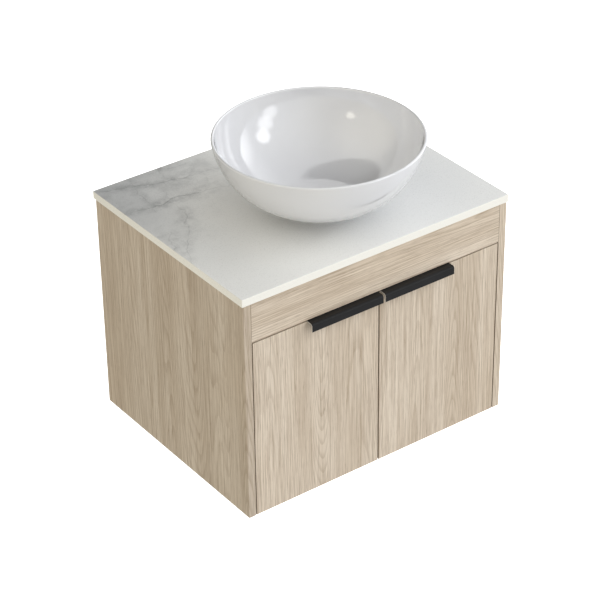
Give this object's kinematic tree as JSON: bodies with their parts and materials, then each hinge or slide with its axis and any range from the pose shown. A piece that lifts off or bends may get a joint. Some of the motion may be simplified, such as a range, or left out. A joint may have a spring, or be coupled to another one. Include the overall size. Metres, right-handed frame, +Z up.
{
  "type": "vessel sink vanity",
  "caption": "Wall-hung light oak vanity with inset doors and black edge pulls, a white stone counter and a round white vessel basin with a pop-up waste.",
  "frame": {"origin": "centre of the four wall-screw holes, on the wall plane", "axes": "+X to the right seen from the front, +Y into the wall, +Z up"},
  "size_m": [0.61, 0.502, 0.626],
  "materials": {
    "oak_laminate": "matt light oak grain",
    "carcass_board": "matt light board",
    "sintered_stone": "satin white with grey veins",
    "white_ceramic": "gloss glaze",
    "black_aluminium": "satin black",
    "chrome": "polished",
    "nickel_steel": "nickel plated",
    "plated_steel": "zinc plated",
    "zinc_cast": "die cast, dull",
    "brass": "machined",
    "beech": "raw turned beech",
    "black_rubber": "soft matt",
    "clear_silicone": "translucent soft",
    "white_nylon": "moulded"
  },
  "bodies": {
    "cabinet": {"left_side_panel": "oak_laminate", "right_side_panel": "oak_laminate", "front_fascia": "oak_laminate", "bottom_panel": "carcass_board", "front_top_rail": "carcass_board", "rear_hanging_rail": "carcass_board", "rear_lower_rail": "carcass_board", "countertop": "sintered_stone", "basin": "white_ceramic", "basin_seal_ring": "clear_silicone", "drain_upper_gasket": "black_rubber", "drain_lower_gasket": "black_rubber", "door_bumpers": "clear_silicone", "drain_body": "chrome", "drain_tailpiece": "chrome", "drain_washer": "white_nylon", "stopper_cartridge": "white_nylon", "drain_lock_nut": "brass", "carcass_cam_locks": "zinc_cast", "carcass_cam_bolts": "plated_steel", "carcass_dowels": "beech", "fascia_screws": "plated_steel", "left_upper_hinge_plate": "nickel_steel", "left_upper_hinge_arm": "nickel_steel", "left_lower_hinge_plate": "nickel_steel", "left_lower_hinge_arm": "nickel_steel", "right_upper_hinge_plate": "nickel_steel", "right_upper_hinge_arm": "nickel_steel", "right_lower_hinge_plate": "nickel_steel", "right_lower_hinge_arm": "nickel_steel", "hinge_arm_pins": "plated_steel", "hinge_arm_screws": "plated_steel", "hinge_plate_screws": "plated_steel"},
    "left_door": {"left_door": "oak_laminate", "left_handle": "black_aluminium", "left_handle_screws": "plated_steel", "left_upper_hinge_cup": "nickel_steel", "left_lower_hinge_cup": "nickel_steel", "left_hinge_cup_pins": "plated_steel", "left_hinge_cup_screws": "plated_steel"},
    "left_inner_links": {"left_upper_hinge_inner_link": "nickel_steel", "left_lower_hinge_inner_link": "nickel_steel", "left_hinge_link_pins": "plated_steel"},
    "left_outer_links": {"left_upper_hinge_outer_link": "nickel_steel", "left_lower_hinge_outer_link": "nickel_steel"},
    "right_door": {"right_door": "oak_laminate", "right_handle": "black_aluminium", "right_handle_screws": "plated_steel", "right_upper_hinge_cup": "nickel_steel", "right_lower_hinge_cup": "nickel_steel", "right_hinge_cup_pins": "plated_steel", "right_hinge_cup_screws": "plated_steel"},
    "right_inner_links": {"right_upper_hinge_inner_link": "nickel_steel", "right_lower_hinge_inner_link": "nickel_steel", "right_hinge_link_pins": "plated_steel"},
    "right_outer_links": {"right_upper_hinge_outer_link": "nickel_steel", "right_lower_hinge_outer_link": "nickel_steel"},
    "drain_stopper": {"drain_stopper": "chrome", "stopper_seal": "black_rubber"}
  },
  "joints": [
    {"name": "left_door_hinge", "type": "hinge", "parent": "cabinet", "child": "left_door", "pos_m": [-0.284, -0.485, 0], "axis": [0, 0, -1], "range_deg": [0, 95]},
    {"name": "left_inner_link_pivot", "type": "hinge", "parent": "cabinet", "child": "left_inner_links", "pos_m": [-0.268, -0.4645, 0], "axis": [0, 0, -1], "range_deg": [0, 95]},
    {"name": "left_outer_link_pivot", "type": "hinge", "parent": "left_inner_links", "child": "left_outer_links", "pos_m": [-0.247, -0.4545, 0], "axis": [0, 0, -1], "range_deg": [-95, 0]},
    {"name": "right_door_hinge", "type": "hinge", "parent": "cabinet", "child": "right_door", "pos_m": [0.284, -0.485, 0], "axis": [0, 0, 1], "range_deg": [0, 95]},
    {"name": "right_inner_link_pivot", "type": "hinge", "parent": "cabinet", "child": "right_inner_links", "pos_m": [0.268, -0.4645, 0], "axis": [0, 0, 1], "range_deg": [0, 95]},
    {"name": "right_outer_link_pivot", "type": "hinge", "parent": "right_inner_links", "child": "right_outer_links", "pos_m": [0.247, -0.4545, 0], "axis": [0, 0, 1], "range_deg": [-95, 0]},
    {"name": "stopper_travel", "type": "slide", "parent": "cabinet", "child": "drain_stopper", "axis": [0, 0, 1], "range_m": [0, 0.008]}
  ],
  "couplings": [
    {"joint": "left_inner_link_pivot", "follows": "left_door_hinge", "ratio": 1},
    {"joint": "left_outer_link_pivot", "follows": "left_door_hinge", "ratio": -1},
    {"joint": "right_inner_link_pivot", "follows": "right_door_hinge", "ratio": 1},
    {"joint": "right_outer_link_pivot", "follows": "right_door_hinge", "ratio": -1}
  ]
}
